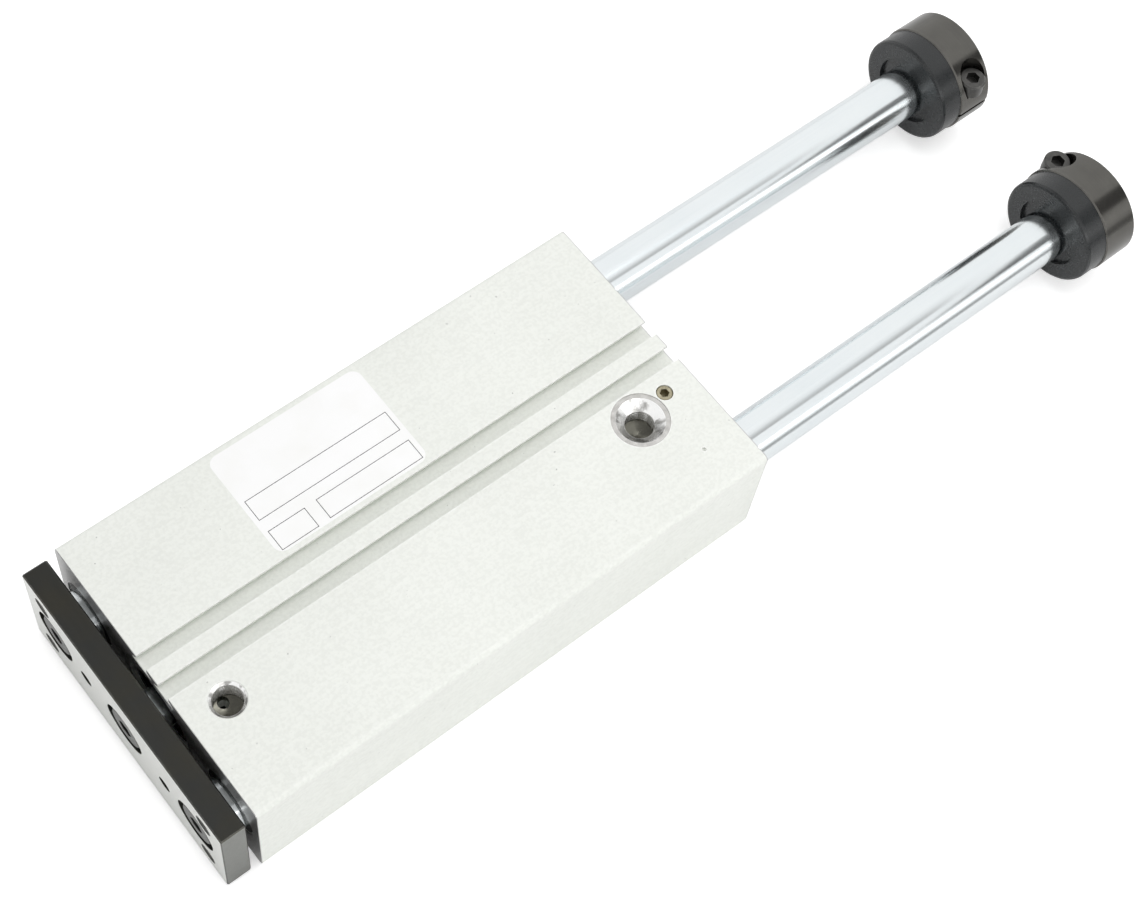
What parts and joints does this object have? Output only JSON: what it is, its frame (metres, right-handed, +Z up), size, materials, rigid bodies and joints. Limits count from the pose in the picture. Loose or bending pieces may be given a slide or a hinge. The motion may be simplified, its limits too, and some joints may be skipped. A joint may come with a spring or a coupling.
{
  "type": "guided pneumatic cylinder",
  "caption": "Pneumatic cylinder between guide rods: air moves a tool plate out of a flat aluminium block, and clamp collars with rubber bumpers on the rod ends stop it.",
  "frame": {"origin": "centre of the housing's underside", "axes": "+X along the rods from the tool plate towards the stop collars, +Z up through the face with the ports and sensor grooves, +Y towards the left guide rod"},
  "size_m": [0.3358, 0.1014, 0.0407],
  "materials": {
    "anodised_aluminium": "satin clear anodised",
    "turned_aluminium": "turned",
    "black_steel": "black oxide",
    "hard_chrome": "ground and hard chromed",
    "bumper_rubber": "matte",
    "bearing_bronze": "sintered, dull",
    "brass_plug": "machined",
    "spring_steel": "phosphated",
    "bonded_magnet": "matte",
    "seal_rubber": "matte"
  },
  "bodies": {
    "housing": {"body_housing": "anodised_aluminium", "passage_plug": "brass_plug", "rod_gland": "turned_aluminium", "rear_cap": "turned_aluminium", "rear_cushion_washer": "seal_rubber", "rod_wiper": "seal_rubber", "rod_bush": "bearing_bronze", "rod_seal": "seal_rubber", "front_cushion_washer": "seal_rubber", "gland_o_ring": "seal_rubber", "rear_cap_o_ring": "seal_rubber", "front_retaining_ring": "spring_steel", "rear_retaining_ring": "spring_steel", "guide_wiper_front_left": "seal_rubber", "guide_bush_front_left": "bearing_bronze", "guide_bush_rear_left": "bearing_bronze", "guide_wiper_rear_left": "seal_rubber", "guide_wiper_front_right": "seal_rubber", "guide_bush_front_right": "bearing_bronze", "guide_bush_rear_right": "bearing_bronze", "guide_wiper_rear_right": "seal_rubber"},
    "carriage": {"piston": "turned_aluminium", "piston_rod": "hard_chrome", "piston_nut": "spring_steel", "piston_seal_front": "seal_rubber", "piston_magnet": "bonded_magnet", "piston_seal_rear": "seal_rubber", "guide_rod_left": "hard_chrome", "guide_rod_right": "hard_chrome", "stop_bumper_left": "bumper_rubber", "stop_bumper_right": "bumper_rubber", "stop_collar_left": "black_steel", "stop_collar_right": "black_steel", "tool_plate": "black_steel", "plate_screws": "black_steel", "collar_screws": "black_steel"}
  },
  "joints": [
    {"name": "carriage_slide", "type": "slide", "parent": "housing", "child": "carriage", "axis": [-1, 0, 0], "range_m": [0, 0.125]}
  ]
}
